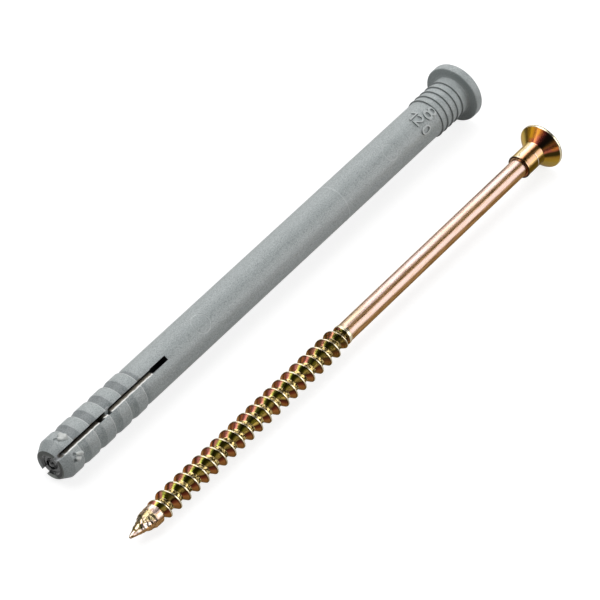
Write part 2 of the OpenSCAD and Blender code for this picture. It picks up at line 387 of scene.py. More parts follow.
def slot_tool():
    """The slot's blade: its lower side leans out, then ends in a narrow chamfer that follows the barbs."""
    (shelf_in, shelf_y), (edge_in, edge_y) = SLOT_SHELF, SLOT_EDGE
    edge_x = NOSE_R - edge_in
    tool = flat_form("slot_blade", [
        (0, SLOT_TOP), (0, SLOT_FLOOR), (NOSE_R - shelf_in, shelf_y), (edge_x, edge_y),
        (edge_x + 0.4, edge_y + 0.8), (CLEAR, SLOT_FLARE), (CLEAR, SLOT_TOP),
    ])
    path = [(NOSE_R, -1)] + [point for point in sleeve_profile() if point[1] < BARB_FOOT_END + 0.1]
    path = [point for point in path if point[0] >= NOSE_R and point[1] <= BARB_EDGES[-1] + 1]
    path += [(BODY_R, BARB_FOOT_END), (BODY_R, SLOT_END_FROM)]
    pick(tool, "FACE", lambda face, at: True)
    bpy.ops.transform.translate(value=(0, 0, -1))
    for (radius, height), (next_radius, next_height) in zip(path, path[1:]):
        bpy.ops.mesh.extrude_region_move(TRANSFORM_OT_translate={"value": (0, 0, next_height - height)})
        mesh = bmesh.from_edit_mesh(tool.data)
        for vert in mesh.verts:
            if vert.select and SLOT_FLOOR < vert.co.y < SLOT_FLARE - NEAR:
                vert.co.x += next_radius - radius
                vert.co.y += (next_radius - radius) * SLOT_FOLLOW * (vert.co.y > 0)
        bmesh.update_edit_mesh(tool.data)
    bpy.ops.mesh.select_all(action="SELECT")
    bpy.ops.mesh.normals_make_consistent(inside=False)
    done()
    return tool


def ejector_tool(at, turn, radius):
    """A round stamp that leaves a thin ring line a little below the body's surface."""
    stamps = []
    for size, deep in ((radius, 2), (radius - EJECTOR_LINE, 3)):
        start_clean()
        bpy.ops.mesh.primitive_cylinder_add(
            vertices=64, radius=size, depth=deep, location=(BODY_R + 0.6, 0, at), rotation=(0, pi / 2, 0),
        )
        stamps.append(settle("stamp"))
    stamp = fit(*stamps, "DIFFERENCE")
    core_r = BODY_R - EJECTOR_SINK
    fit(stamp, turned("stamp_foot", [(core_r, at - radius - 1), (core_r, at + radius + 1)]), "DIFFERENCE")
    return turn_about_axis(stamp, turn)


def tip_core():
    """The blind core in the mouth, cupped round a domed middle, with its web across the slot."""
    core = turned("core", [
        (CORE_R - 0.5, CORE_FROM), (CORE_R - 0.2, CORE_FROM + 0.12), (CORE_R, CORE_FROM + 0.5),
        (CORE_R, CORE_LEN),
    ], sides=64)
    web = block("web", (0, SLOT_TOP - 0.4, 0.2), (WEB_REACH, 0.7, 1.25))
    apply_modifier(web, "BEVEL", width=0.14, segments=3)
    fit(core, web, "UNION")
    reach, low, high = MOUTH_FLOOR
    fit(core, turned("mouth_floor", [(reach, low), (reach, high)], sides=64), "UNION")
    cup = turned("cup", [(CUP_R, -0.5), (CUP_R, 0.7), (CORE_R - 0.7, 1.3)], sides=48)
    fit(core, cup, "DIFFERENCE")
    start_clean()
    bpy.ops.mesh.primitive_uv_sphere_add(segments=32, ring_count=16, radius=DOME_R, location=(0, 0, DOME_AT))
    return fit(core, settle("core_dome"), "UNION")


def bridge_form():
    """A lump from the slot's upper edge that falls away toward the lower wall."""
    low = (2.2, SLOT_TOP - 0.3, BRIDGE_AT - BRIDGE_HALF)
    bridge = block("bridge", low, (3.95, 0.3, BRIDGE_AT + BRIDGE_HALF))
    pick(bridge, "EDGE", lambda edge, at: at.x > 3.9 and at.y > 0.25)
    bpy.ops.transform.translate(value=(-1.1, 0, 0))
    done()
    return apply_modifier(bridge, "BEVEL", width=0.2, segments=4)


def make_sleeve():
    sleeve = turned("sleeve_shell", sleeve_profile(), hollow=True)
    soften_sleeve(sleeve)
    fit(sleeve, turn_about_axis(nub_form(False), -NUB_TURN), "UNION")
    fit(sleeve, turn_about_axis(nub_form(True), NUB_TURN), "UNION")
    for turn, *pit in NUB_PITS:
        fit(sleeve, turn_about_axis(pit_tool(*pit), turn), "DIFFERENCE")
    fit(sleeve, slot_tool(), "DIFFERENCE")
    slot_end = block("slot_end", (0, SLOT_END_TOP, SLOT_END_FROM), (CLEAR, SLOT_END_LOW, SLOT_LEN))
    fit(sleeve, slot_end, "DIFFERENCE")
    fit(sleeve, block("lip_gap", *LIP_GAP), "DIFFERENCE")
    fit(sleeve, block("bridge_gap", *BRIDGE_GAP), "DIFFERENCE")
    fit(sleeve, block("notch", (-CLEAR, -NOTCH_HALF, -1), (0, NOTCH_HALF, NOTCH_LEN)), "DIFFERENCE")
    for at, turn, radius in EJECTOR_MARKS:
        fit(sleeve, ejector_tool(at, turn, radius), "DIFFERENCE")
    fit(sleeve, tip_core(), "UNION")
    fit(sleeve, bridge_form(), "UNION")
    return sleeve


def figure(sign):
    """One flat number: the slim 1 has no foot, the others come from the plain font."""
    if sign == "1":
        return flat_form("figure", [
            (0.22, -1.2), (0.5, -1.2), (0.5, 1.2), (0.26, 1.2), (-0.5, 0.72), (-0.5, 0.42), (0.22, 0.82),
        ])
    start_clean()
    bpy.ops.object.text_add()
    bpy.context.object.data.body = sign
    bpy.ops.object.convert(target="MESH")
    return settle("figure")


def size_mark(sign, at, turn, tall, wide, sleeve):
    """One raised number on the body, its top toward the collar."""
    mark = figure(sign)
    make_active(mark)
    corners = [[f(vert.co[k] for vert in mark.data.vertices) for k in (0, 1)] for f in (min, max)]
    (left, low), (right, high) = corners
    centre = Matrix.Translation((-(left + right) / 2, -(low + high) / 2, 0))
    scale = Matrix.Diagonal((wide / (right - left), tall / (high - low), 1, 1))
    stand = Matrix(((0, 0, 1, BODY_R), (1, 0, 0, 0), (0, 1, 0, at), (0, 0, 0, 1)))
    mark.matrix_world = Matrix.Rotation(radians(turn), 4, "Z") @ stand @ scale @ centre
    mark = settle("size_mark_" + sign)
    pick(mark, "FACE", lambda face, at: True)
    bpy.ops.mesh.remove_doubles(threshold=0.002)
    bpy.ops.mesh.quads_convert_to_tris()
    bpy.ops.mesh.subdivide(number_cuts=2)
    done()
    apply_modifier(mark, "SHRINKWRAP", target=sleeve, wrap_method="NEAREST_SURFACEPOINT")
    apply_modifier(mark, "SOLIDIFY", thickness=MARK_H * 2, offset=0)
    pick(mark, "FACE", lambda face, at: True)
    bpy.ops.mesh.normals_make_consistent(inside=False)
    done()
    return mark


# The nail: a rolled thread between a pinched stub and a drawn shank with a pressed head.

def thread_profile():
    """One pitch of the buttress section, as (height, radius) from root to root."""
    return [
        (0.00, ROOT_R),
        (0.34, ROOT_R + 0.005),
        (0.44, ROOT_R + 0.06),
        (0.84, ROOT_R + 0.45),
        (1.24, CREST_R - 0.07),
        (1.31, CREST_R - 0.015),
        (1.37, CREST_R),
        (1.50, CREST_R),
        (1.56, CREST_R - 0.01),
        (1.62, CREST_R - 0.07),
        (1.80, ROOT_R + 0.48),
        (1.98, ROOT_R + 0.13),
        (2.06, ROOT_R + 0.04),
        (2.16, ROOT_R + 0.005),
        (2.50, ROOT_R),
    ]


def run_out(thread):
    """Lowers the crest where the thread rises from the stub and where it runs out into the shank."""
    pick(thread, "VERT", lambda vert, at: True)
    mesh = bmesh.from_edit_mesh(thread.data)
    for vert in mesh.verts:
        radius = hypot(vert.co.x, vert.co.y)
        if radius <= ROOT_R:
            continue
        turn_base = THREAD_FROM + PITCH * (atan2(vert.co.y, vert.co.x) / (2 * pi))
        crest_z = vert.co.z - (vert.co.z - turn_base) % PITCH + CREST_MID
        rising = THREAD_LIP_R + (CREST_R - THREAD_LIP_R) * (crest_z - STUB_END) / THREAD_RISE
        fading = SHANK_R + (CREST_R - SHANK_R) * (THREAD_END - crest_z) / THREAD_FADE
        crest = max(ROOT_R, min(CREST_R, rising, fading))
        kept = ROOT_R + (radius - ROOT_R) * (crest - ROOT_R) / (CREST_R - ROOT_R)
        vert.co.x *= kept / radius
        vert.co.y *= kept / radius
    bmesh.update_edit_mesh(thread.data)
    done()


def make_thread():
    start_clean()
    profile = thread_profile()
    bpy.ops.mesh.primitive_plane_add(size=1, location=(profile[0][1], 0, THREAD_FROM))
    thread = settle("thread")
    bpy.ops.object.mode_set(mode="EDIT")
    bpy.ops.mesh.select_mode(type="VERT")
    bpy.ops.mesh.select_all(action="SELECT")
    bpy.ops.mesh.merge(type="CENTER")
    for (height, radius), (next_height, next_radius) in zip(profile, profile[1:]):
        step = (next_radius - radius, 0, next_height - height)
        bpy.ops.mesh.extrude_region_move(TRANSFORM_OT_translate={"value": step})
    done()
    apply_modifier(
        thread, "SCREW", axis="Z", screw_offset=PITCH, angle=2 * pi, iterations=THREAD_TURNS,
        steps=THREAD_STEPS, render_steps=THREAD_STEPS,
    )
    pick(thread, "VERT", lambda vert, at: True)
    bpy.ops.mesh.remove_doubles(threshold=0.0005)
    done()
    run_out(thread)
    for low, high in ((0, THREAD_END / 2), (THREAD_END / 2, THREAD_END * 2)):
        pick(thread, "EDGE", lambda edge, at: edge.is_boundary and low < at.z < high)
        bpy.ops.mesh.extrude_region_move()
        bpy.ops.mesh.merge(type="CENTER")
    bpy.ops.mesh.select_all(action="SELECT")
    bpy.ops.mesh.normals_make_consistent(inside=False)
    done()
    return thread


def make_point():
    """The stub, a round bar whose end the dies pinch to flats, with a steeper facet between each two."""
    point = turned("point", [(STUB_R, 0), (STUB_R, STUB_END - 0.12), (STUB_R - 0.12, STUB_END)], sides=96)
    for step in range(8):
        x, y = cos(step * pi / 4), sin(step * pi / 4)
        half, length = POINT_FACETS if step % 2 else POINT_FLATS
        pick(point, "FACE", lambda face, at: True)
        bpy.ops.mesh.bisect(
            plane_co=(x * half, y * half, 0), plane_no=(x, y, -(STUB_R - half) / length),
            use_fill=True, clear_outer=True,
        )
        done()
    apply_modifier(point, "REMESH", mode="VOXEL", voxel_size=0.08)
    pick(point, "VERT", lambda vert, at: True)
    mesh = bmesh.from_edit_mesh(point.data)
    for vert in mesh.verts:
        crease = abs(noise.noise(vert.co * 0.8)) + abs(noise.noise(vert.co * 1.5)) * 0.4 - 0.35
        share = min(1, max(0, (6.0 - vert.co.z) / 1.0), max(0, vert.co.z - 0.4) / 2.5)
        vert.co += vert.normal * CREASE * crease * share
    bmesh.update_edit_mesh(point.data)
    done()
    return point


def make_head():
    """The shank from its starting ring up, with the neck, the countersunk head and its cross recess."""
    ring = [(SHANK_RING_R, THREAD_END - 0.4), (SHANK_RING_R, THREAD_END + 0.1)]
    groove_r = NECK_R - GROOVE_SINK
    groove = [(NECK_R, GROOVE_FROM), (groove_r, GROOVE_FROM + 0.06)]
    groove += [(groove_r, GROOVE_TO - 0.06), (NECK_R, GROOVE_TO)]
    head = turned("shank_and_head", [
        (SHANK_R - 0.2, THREAD_END - 0.7), *ring, (SHANK_R, THREAD_END + 0.5), (SHANK_R, THREAD_END + 1),
        (SHANK_R, NECK_FROM - 0.5), (SHANK_R, NECK_FROM), (NECK_LIP_R, NECK_FROM),
        (NECK_LIP_R, NECK_FROM + 0.4), (NECK_R, NECK_FROM + 0.6), (NECK_R, NECK_FROM + 1),
        (NECK_R, GROOVE_FROM - 0.3), *groove, (NECK_R, GROOVE_TO + 0.28),
        (NECK_R, CONE_FROM - 0.4), (NECK_R, CONE_FROM), (HEAD_R, RIM_FROM), (HEAD_R, NAIL_LEN),
    ], sides=128)
    soften_rings(head, [(HEAD_R, NAIL_LEN)], 0.16, 4)
    soften_rings(head, [(HEAD_R, RIM_FROM)], 0.08, 3)
    soften_rings(head, [(NECK_LIP_R, NECK_FROM)], 0.08, 3)
    soften_rings(head, [(NECK_R, CONE_FROM)], 0.12, 3)
    soften_rings(head, ring, 0.12, 3)
    long_half, wide_half = RECESS_HALF
    floor_at = NAIL_LEN - RECESS_DEPTH
    for turn in (0, 90):
        blade = block("blade", (-long_half, -wide_half, floor_at), (long_half, wide_half, NAIL_LEN + 0.1))
        pick(blade, "FACE", lambda face, at: face.normal.z < -0.9)
        bpy.ops.transform.resize(value=(RECESS_TAPER, 1, 1), center_override=(0, 0, floor_at))
        done()
        fit(head, turn_about_axis(blade, turn), "DIFFERENCE")
    return head


class Wire:
    """An output socket whose arithmetic adds Math nodes to its tree."""

    def __init__(self, finish, socket):
        self.finish = finish
        self.socket = socket

    def math(self, operation, *values):
        return self.finish.add("ShaderNodeMath", {"operation": operation}, dict(enumerate(values)))

    def __add__(self, other):
        return self.math("ADD", self, other)

    def __radd__(self, other):
        return self.math("ADD", other, self)

    def __sub__(self, other):
        return self.math("SUBTRACT", self, other)

    def __rsub__(self, other):
        return self.math("SUBTRACT", other, self)

    def __mul__(self, other):
        return self.math("MULTIPLY", self, other)

    def __rmul__(self, other):
        return self.math("MULTIPLY", other, self)

    def root(self):
        return self.math("SQRT", self)

    def size(self):
        return self.math("ABSOLUTE", self)

    def least(self, other):
        return self.math("MINIMUM", self, other)

    def wrap(self, length):
        return self.math("WRAP", self, length, 0.0)

    def ramp(self, low, high):
        """0 below low, 1 above high, smooth between them; low may lie above high."""
        return self.finish.add(
            "ShaderNodeMapRange", {"interpolation_type": "SMOOTHSTEP"},
            {"Value": self, "From Min": low, "From Max": high},
        )

    def within(self, low, full_from, full_to, high):
        """1 from full_from to full_to, falling smoothly to 0 at low and at high."""
        return self.ramp(low, full_from) * self.ramp(high, full_to)


class Finish:
    """The node tree of one material or of the world."""

    def __init__(self, owner):
        owner.use_nodes = True
        self.owner = owner
        self.tree = owner.node_tree
        self.tree.nodes.clear()

    def add(self, kind, settings=None, sockets=None, output=0):
        node = self.tree.nodes.new(kind)
        for key, value in (settings or {}).items():
            if key == "stops":
                elements = node.color_ramp.elements
                elements.remove(elements[-1])
                elements[0].position, elements[0].color = value[0][0], (*value[0][1], 1)
                for place, colour in value[1:]:
                    elements.new(place).color = (*colour, 1)
            else:
                setattr(node, key, value)
        for key, value in (sockets or {}).items():
            if isinstance(value, Wire):
                self.tree.links.new(value.socket, node.inputs[key])
            else:
                node.inputs[key].default_value = value
        return Wire(self, node.outputs[output]) if node.outputs else None

    def blend(self, share, first, second):
        def colour(value):
            return value if isinstance(value, Wire) else (*value, 1)
        sockets = {0: share, 6: colour(first), 7: colour(second)}
        return self.add("ShaderNodeMix", {"data_type": "RGBA"}, sockets, output=2)

    def bands(self, stops, place):
        return self.add("ShaderNodeValToRGB", {"stops": stops}, {0: place})

    def noise(self, vector, scale, detail, rough):
        sockets = {"Vector": vector, "Scale": scale, "Detail": detail, "Roughness": rough}
        return self.add("ShaderNodeTexNoise", {}, sockets)

    def scaled(self, vector, factors):
        return self.add("ShaderNodeVectorMath", {"operation": "MULTIPLY"}, {0: vector, 1: factors})

    def along_axis(self, tip, along, roll):
        """Object coordinates in millimetres in a piece's own upright frame."""
        where = self.add("ShaderNodeTexCoord", output=3)
        turn = (axis_turn(along) @ Matrix.Rotation(radians(roll), 4, "Z")).to_euler()
        return self.add(
            "ShaderNodeMapping", {"vector_type": "TEXTURE"},
            {"Vector": where, "Location": tip, "Rotation": turn, "Scale": (MM, MM, MM)},
        )

    def parts(self, vector):
        node = self.add("ShaderNodeSeparateXYZ", {}, {0: vector}).socket.node
        return [Wire(self, socket) for socket in node.outputs]

    def surface(self, shader):
        self.add("ShaderNodeOutputMaterial", {}, {"Surface": shader})


# The nylon's tones, and the painted light and shade on it
NYLON_GREYS = ((0.322, 0.354, 0.356), (0.352, 0.385, 0.387))
PALE_SPECK_AND_HIGHLIGHT_GREY = (0.46, 0.49, 0.49)
DARK_GREY = (0.225, 0.248, 0.248)
CONE_SHADE_SCALES = ((0.54, 0.55, 0.56), (0.77, 0.79, 0.79))
COLLAR_SHADE_SCALE = (0.8, 0.82, 0.82)
EDGE_HIGHLIGHT_GREY = (0.62, 0.64, 0.63)
NUB_HIGHLIGHT_GREY = (0.60, 0.62, 0.60)
LINE_AND_HIGHLIGHT_GREY = (0.60, 0.63, 0.63)
RING_HIGHLIGHT_GREY = (0.52, 0.56, 0.56)
STEP_SHADE = (0.10, 0.11, 0.11)
MARK_SHADE = (0.12, 0.135, 0.135)
SLOT_BROWNS = ((0.11, 0.10, 0.08), (0.32, 0.29, 0.235))
LIP_HIGHLIGHT_WHITE = (0.90, 0.90, 0.87)
SLOT_END_SHADE = (0.02, 0.02, 0.02)
END_FACE_SHADES = ((0.082, 0.090, 0.080), (0.042, 0.046, 0.040))
SUNK_FACE_SHADES = ((0.012, 0.013, 0.011), (0.15, 0.16, 0.14))
NOTCH_SIDE_LIGHT_GREYS = ((0.21, 0.23, 0.225), (0.33, 0.35, 0.33))
MOUTH_SHADE = (0.030, 0.032, 0.032)
WEB_LIGHT_AND_SHADE = ((0.42, 0.44, 0.45), (0.16, 0.15, 0.13))


def grey_nylon(tip, along):
    finish = Finish(bpy.data.materials.new("grey_nylon"))
    place = finish.along_axis(tip, along, 180 + SLOT_TURN)
    x, y, z = finish.parts(place)
    radius = (x * x + y * y).root()
    slot_side = x.ramp(0, 0.1)
    cloud = finish.noise(place, 0.22, 3.0, 0.6)
    speck = finish.noise(place, 5.0, 2.0, 0.6)
    tone = finish.blend(cloud.ramp(0.3, 0.7), *NYLON_GREYS)
    tone = finish.blend(speck.ramp(0.48, 0.64) * 0.75, tone, PALE_SPECK_AND_HIGHLIGHT_GREY)
    tone = finish.blend(speck.ramp(0.48, 0.34) * 0.8, tone, DARK_GREY)

    # painted shade makes the barbs' cones dimmer, darker on one side, and a painted highlight makes their
    # edges paler
    into_barb = (z - BARB_EDGES[0] + 0.16).wrap(BARB_EDGES[1] - BARB_EDGES[0])
    coned = into_barb.within(0.24, 0.30, 1.9, 2.2) * z.ramp(BARB_FOOT_END - 0.22, BARB_FOOT_END - 0.82)
    upper, lower = [finish.scaled(tone, share) for share in CONE_SHADE_SCALES]
    past_nose = z.ramp(2.0, 4.0)
    dimmed = coned * (past_nose * 0.95 + (1 - past_nose) * y.ramp(0.4, -0.6) * 0.27)
    tone = finish.blend(dimmed, tone, finish.blend(y.ramp(-1.0, 0.8), upper, lower))
    edge_highlight = into_barb.ramp(0.24, 0.16) * radius.ramp(BARB_R - 0.1, BARB_R - 0.05)
    edge_highlight = edge_highlight * z.ramp(BARB_FOOT_END, BARB_FOOT_END - 0.5)
    tone = finish.blend(edge_highlight * 0.5, tone, EDGE_HIGHLIGHT_GREY)

    # thin pale lines on the body, painted shade on the steps under the rings, and size marks with painted
    # shade at their feet and a painted highlight on their tops
    lines = radius.ramp(BODY_R + 0.004, BODY_R + 0.01) * (z - WITNESS_AT).size().ramp(0.3, 0.2)
    for at, turn, size in EJECTOR_MARKS:
        across = y * cos(radians(turn)) - x * sin(radians(turn))
        off_ring = ((across * across + (z - at) * (z - at)).root() - size + EJECTOR_LINE / 2).size()
        lines = lines + off_ring.ramp(0.17, 0.10) * slot_side
    tone = finish.blend(lines * 0.4, tone, LINE_AND_HIGHLIGHT_GREY)
    first, last = RING_STEPS[0], RING_STEPS[-1]
    into_ring = (z - first).wrap(RING_STEPS[1] - first)
    stepped = into_ring.ramp(RING_STEP + 0.02, RING_STEP - 0.02)
    stepped = stepped * z.within(first - 0.1, first - 0.05, last + 0.35, last + 0.45)
    tone = finish.blend(stepped * 0.7, tone, STEP_SHADE)
    marked = z.within(MARKS_FROM, MARKS_FROM + 0.2, MARKS_TO - 0.2, MARKS_TO)
    tone = finish.blend(marked * radius.ramp(BODY_R + 0.01, BODY_R + 0.03) * 0.75, tone, MARK_SHADE)
    tone = finish.blend(marked * radius.ramp(BODY_R + 0.19, BODY_R + 0.22), tone, PALE_SPECK_AND_HIGHLIGHT_GREY)

    # a painted highlight on the last ring, painted shade on the collar's underside
    necked = z.within(PLUG_LEN - 1.8, PLUG_LEN - 0.6, PLUG_LEN - 0.1, PLUG_LEN)
    tone = finish.blend(necked * radius.ramp(RING_R + 0.1, RING_R + 0.05) * 0.5, tone, RING_HIGHLIGHT_GREY)
    under = z.within(PLUG_LEN - 0.3, PLUG_LEN - 0.2, PLUG_LEN + 0.08, PLUG_LEN + 0.14)
    under = under * radius.ramp(RING_R + 0.1, RING_R + 0.4)
    tone = finish.blend(under, tone, finish.scaled(tone, COLLAR_SHADE_SCALE))

    # the spread slot: brown-grey walls below a lip that carries a painted white highlight, painted black
    # shade at its end
    near_slot = y.within(-0.55, -0.5, 0.64, 0.68) * slot_side * z.ramp(SLOT_END_FROM, SLOT_END_FROM - 0.2)
    bridged = (z - BRIDGE_AT).size().ramp(BRIDGE_HALF + 0.25, BRIDGE_HALF + 0.05)
    wall = near_slot * y.ramp(0.36, 0.32) * radius.ramp(BODY_R - 0.05, BODY_R - 0.15) * z.ramp(1.5, 1.7)
    browned = finish.blend(z.ramp(12, 15) * y.ramp(-0.24, -0.08), *SLOT_BROWNS)
    tone = finish.blend(wall * (1 - bridged), tone, browned)
    torn = finish.noise(finish.scaled(place, (0.0, 0.0, 1.0)), 0.7, 2.0, 0.5)
    edge = y + (torn - 0.5) * 0.45
    lip = near_slot * edge.within(0.27, 0.34, 0.52, 0.58) * radius.ramp(NOSE_R + 0.2, NOSE_R + 0.3)
    lip = lip * z.ramp(1.2, 1.5)
    tone = finish.blend(lip * torn.ramp(0.25, 0.5), tone, LIP_HIGHLIGHT_WHITE)
    ended = y.within(-0.55, -0.53, 0.50, 0.52) * slot_side * radius.ramp(BODY_R - 0.03, BODY_R - 0.07)
    ended = ended * z.within(SLOT_END_FROM - 0.1, SLOT_END_FROM + 0.1, SLOT_LEN + 0.1, SLOT_LEN + 0.2)
    tone = finish.blend(ended, tone, SLOT_END_SHADE)
    # a painted highlight on the bridge's top
    lump = bridged * y.within(-0.8, -0.7, 0.05, 0.15) * radius.ramp(NOSE_R + 0.3, NOSE_R + 0.5)
    tone = finish.blend(lump * 0.45, tone, LINE_AND_HIGHLIGHT_GREY)

    # painted highlights make the nubs paler where they stand out; painted shade makes the end face darker,
    # most toward one side, with painted light on its notched side
    proud = radius.ramp(BARB_R + 0.07, BARB_R + 0.35) * z.ramp(5.2, 5.0)
    tone = finish.blend(proud * 0.85, tone, NUB_HIGHLIGHT_GREY)
    face = finish.blend(y.ramp(-0.6, 1.2), *END_FACE_SHADES)
    face = finish.blend(y.ramp(1.0, 1.4), face, finish.blend(radius.ramp(2.66, 2.78), *SUNK_FACE_SHADES))
    face = finish.blend(x.ramp(-0.8, -1.6), face, finish.blend(y.ramp(-0.5, 0.5), *NOTCH_SIDE_LIGHT_GREYS))
    tone = finish.blend(z.ramp(0.07, 0.03), tone, face)

    # painted shade makes the mouth black, with a glossy coat on it; painted light makes the web across it
    # pale, with painted shade deeper in
    notched = y.size().ramp(NOTCH_HALF + 0.07, NOTCH_HALF + 0.01)
    notched = notched * x.ramp(-1.6, -1.8) * radius.ramp(2.6, 2.5)
    mouth = z.ramp(2.3, 2.2) * (radius.ramp(MOUTH_R + 0.06, MOUTH_R - 0.02) + notched).ramp(0, 1)
    tone = finish.blend(mouth, tone, MOUTH_SHADE)
    web = z.ramp(1.4, 1.3) * x.ramp(1.9, 2.1) * y.size().ramp(0.5, 0.42)
    tone = finish.blend(web, tone, finish.blend(z.ramp(0.45, 0.8), *WEB_LIGHT_AND_SHADE))

    height = finish.noise(place, 5.0, 3.0, 0.6) + finish.noise(place, 1.3, 2.0, 0.5) * 0.8
    bump = finish.add("ShaderNodeBump", {}, {"Strength": 0.25, "Distance": 0.00008, "Height": height})
    rough = 0.32 + speck * 0.1 - mouth * 0.17
    shader = finish.add(
        "ShaderNodeBsdfPrincipled", {},
        {"Base Color": tone, "Roughness": rough, "IOR": 1.54, "Coat Weight": mouth, "Normal": bump},
    )
    finish.surface(shader)
    return finish.owner


# The zinc's tones and painted reflections; the stops of its films and painted reflections go once round the
# nail
EDGE_TINT = (0.85, 0.68, 0.46, 1)
DRAWN_GOLDS = ((0.84, 0.60, 0.50), (0.92, 0.70, 0.66))
DULL_GOLD = (0.72, 0.60, 0.36)
DIMMED_HIGHLIGHT_GOLD = (0.53, 0.385, 0.34)
REFLECTION_STRIPE_GOLD = (0.80, 0.46, 0.22)
STREAK_BROWN = (0.36, 0.21, 0.08)
STUB_OLIVE = (0.42, 0.36, 0.14)
STUB_PALE = (0.97, 0.86, 0.76)
VEIN_BROWN = (0.10, 0.09, 0.02)
POINT_SHADE_OLIVE = (0.25, 0.21, 0.08)
SHADE_BROWNS = ((0.24, 0.12, 0.04), (0.56, 0.31, 0.13))
RIM_HIGHLIGHT_GOLD = (0.95, 0.85, 0.60)
RIM_SHADE = (0.12, 0.09, 0.04)
GROOVE_HIGHLIGHT = (0.97, 0.90, 0.75)
FOOT_SHADE_BROWNS = ((0.42, 0.27, 0.17), (0.34, 0.13, 0.06))
FOOT_SHADE = (0.05, 0.03, 0.015)
ROOT_GLINTS_AND_SHADE = ((0.04, 0.026, 0.006), (0.72, 0.55, 0.22))
ROOT_SHADE = (0.07, 0.05, 0.012)
BACK_SHADE = (0.16, 0.11, 0.03)
CREST_HIGHLIGHT_GOLD = (0.80, 0.72, 0.52)
FADE_SHADE = (0.08, 0.06, 0.012)
FLANK_SHADE = (0.05, 0.03, 0.01)
AMBER_SHIFT = (0.88, 1.1, 0.4)
ROSE_SHIFT = (0.85, 0.58, 2.2)
THREAD_FILM_AND_REFLECTIONS = (
    (0.00, (0.40, 0.28, 0.06)),
    (0.20, (0.50, 0.22, 0.14)),
    (0.33, (0.45, 0.22, 0.08)),
    (0.38, (0.60, 0.17, 0.05)),
    (0.42, (0.22, 0.07, 0.045)),
    (0.455, (0.76, 0.25, 0.20)),
    (0.48, (0.74, 0.39, 0.18)),
    (0.505, (0.68, 0.74, 0.11)),
    (0.545, (0.12, 0.085, 0.013)),
    (0.585, (0.34, 0.29, 0.02)),
    (0.625, (0.92, 0.62, 0.14)),
    (0.665, (0.055, 0.014, 0.005)),
    (0.71, (0.18, 0.038, 0.016)),
    (0.75, (0.42, 0.16, 0.045)),
    (0.88, (0.30, 0.14, 0.05)),
    (0.95, (0.34, 0.24, 0.06)),
)
CONE_FILM_AND_REFLECTIONS = (
    (0.00, (0.36, 0.26, 0.06)),
    (0.33, (0.90, 0.68, 0.20)),
    (0.377, (0.38, 0.20, 0.04)),
    (0.42, (0.95, 0.47, 0.02)),
    (0.45, (0.78, 0.31, 0.028)),
    (0.48, (0.46, 0.17, 0.05)),
    (0.502, (0.29, 0.075, 0.042)),
    (0.535, (0.48, 0.09, 0.065)),
    (0.56, (0.11, 0.05, 0.035)),
    (0.60, (0.08, 0.06, 0.04)),
    (0.627, (0.46, 0.18, 0.035)),
    (0.669, (1.00, 0.24, 0.14)),
    (0.70, (0.05, 0.03, 0.006)),
    (0.73, (0.04, 0.026, 0.005)),
    (0.752, (0.40, 0.21, 0.03)),
    (0.794, (0.55, 0.34, 0.04)),
    (0.84, (0.58, 0.42, 0.12)),
)
NECK_FILM_AND_REFLECTIONS = (
    (0.00, (0.60, 0.42, 0.20)),
    (0.41, (0.58, 0.44, 0.20)),
    (0.447, (1.00, 0.88, 0.60)),
    (0.48, (0.95, 0.78, 0.54)),
    (0.525, (0.80, 0.37, 0.21)),
    (0.545, (0.26, 0.14, 0.04)),
    (0.562, (0.13, 0.055, 0.004)),
    (0.588, (0.62, 0.34, 0.13)),
    (0.613, (0.47, 0.29, 0.18)),
    (0.64, (0.50, 0.32, 0.21)),
    (0.667, (0.58, 0.37, 0.15)),
    (0.70, (0.12, 0.065, 0.006)),
    (0.90, (0.24, 0.17, 0.045)),
)


